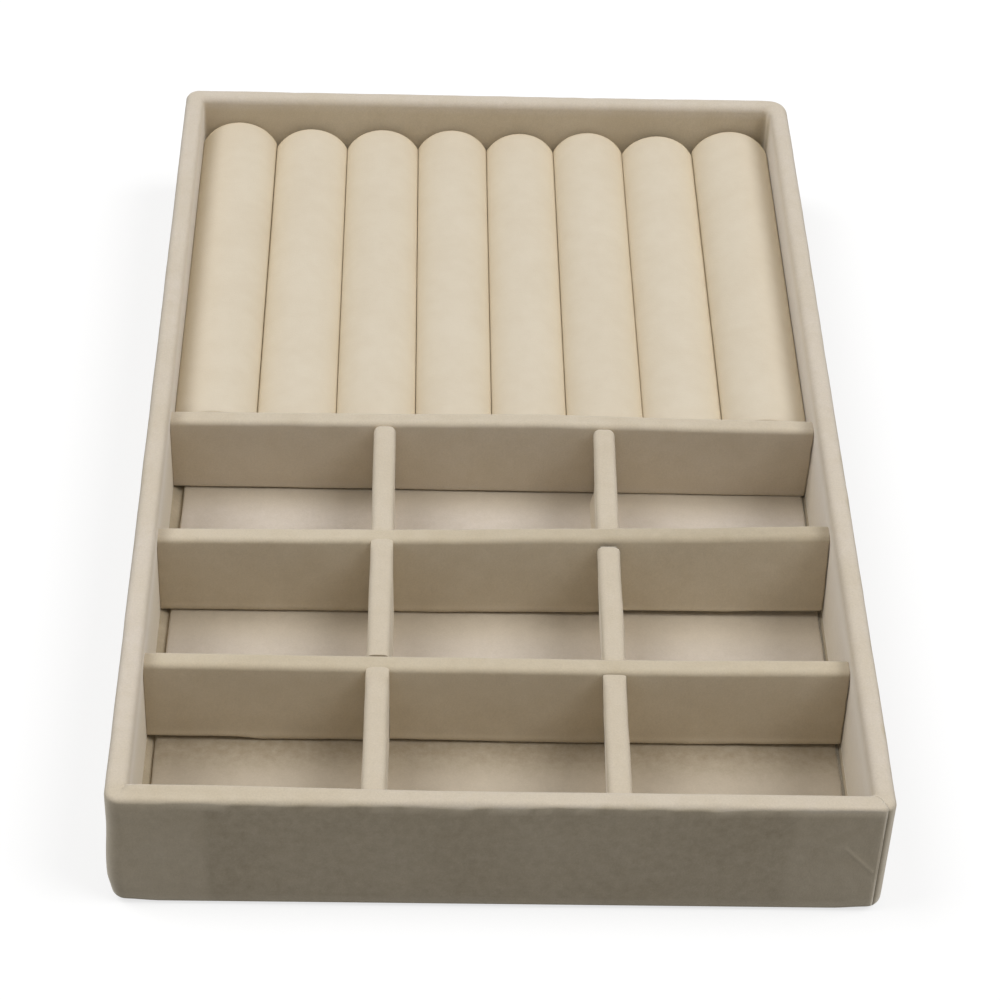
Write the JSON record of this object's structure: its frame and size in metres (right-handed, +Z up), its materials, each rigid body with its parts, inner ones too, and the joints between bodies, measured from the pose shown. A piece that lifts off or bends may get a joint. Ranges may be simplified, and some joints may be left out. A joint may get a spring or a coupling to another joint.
{
  "type": "jewelry tray",
  "caption": "Open velvet-covered jewelry tray: a bay of ring rolls at the back and a grid of low compartments at the front.",
  "frame": {"origin": "middle of the underside, on the face that the tray rests on", "axes": "+X to the right seen from the compartment end, +Y towards the ring rolls at the back, +Z up"},
  "size_m": [0.18, 0.29, 0.035],
  "materials": {
    "hardboard": "plain brown hardboard",
    "wall_board": "sanded fibreboard, unfinished",
    "velvet": "short-pile velvet, pale beige",
    "roll_velvet": "short-pile velvet, cream",
    "felt": "thin pressed felt",
    "card": "grey board",
    "divider_board": "laminated grey board",
    "foam": "open-cell foam"
  },
  "bodies": {
    "root": {"base_board": "hardboard", "front_wall_board": "wall_board", "back_wall_board": "wall_board", "left_wall_board": "wall_board", "right_wall_board": "wall_board", "outer_cover": "velvet", "underside_cover": "felt", "base_lining": "velvet", "compartment_floor_card": "card", "compartment_floor_lining": "velvet", "ring_roll_card": "card", "cross_divider_1_board": "divider_board", "cross_divider_1_cover": "velvet", "cross_divider_2_board": "divider_board", "cross_divider_2_cover": "velvet", "cross_divider_3_board": "divider_board", "cross_divider_3_cover": "velvet", "long_divider_left_board": "divider_board", "long_divider_left_cover": "velvet", "long_divider_right_board": "divider_board", "long_divider_right_cover": "velvet", "ring_roll_core_1": "foam", "ring_roll_cover_1": "roll_velvet", "ring_roll_core_2": "foam", "ring_roll_cover_2": "roll_velvet", "ring_roll_core_3": "foam", "ring_roll_cover_3": "roll_velvet", "ring_roll_core_4": "foam", "ring_roll_cover_4": "roll_velvet", "ring_roll_core_5": "foam", "ring_roll_cover_5": "roll_velvet", "ring_roll_core_6": "foam", "ring_roll_cover_6": "roll_velvet", "ring_roll_core_7": "foam", "ring_roll_cover_7": "roll_velvet", "ring_roll_core_8": "foam", "ring_roll_cover_8": "roll_velvet"}
  },
  "joints": []
}
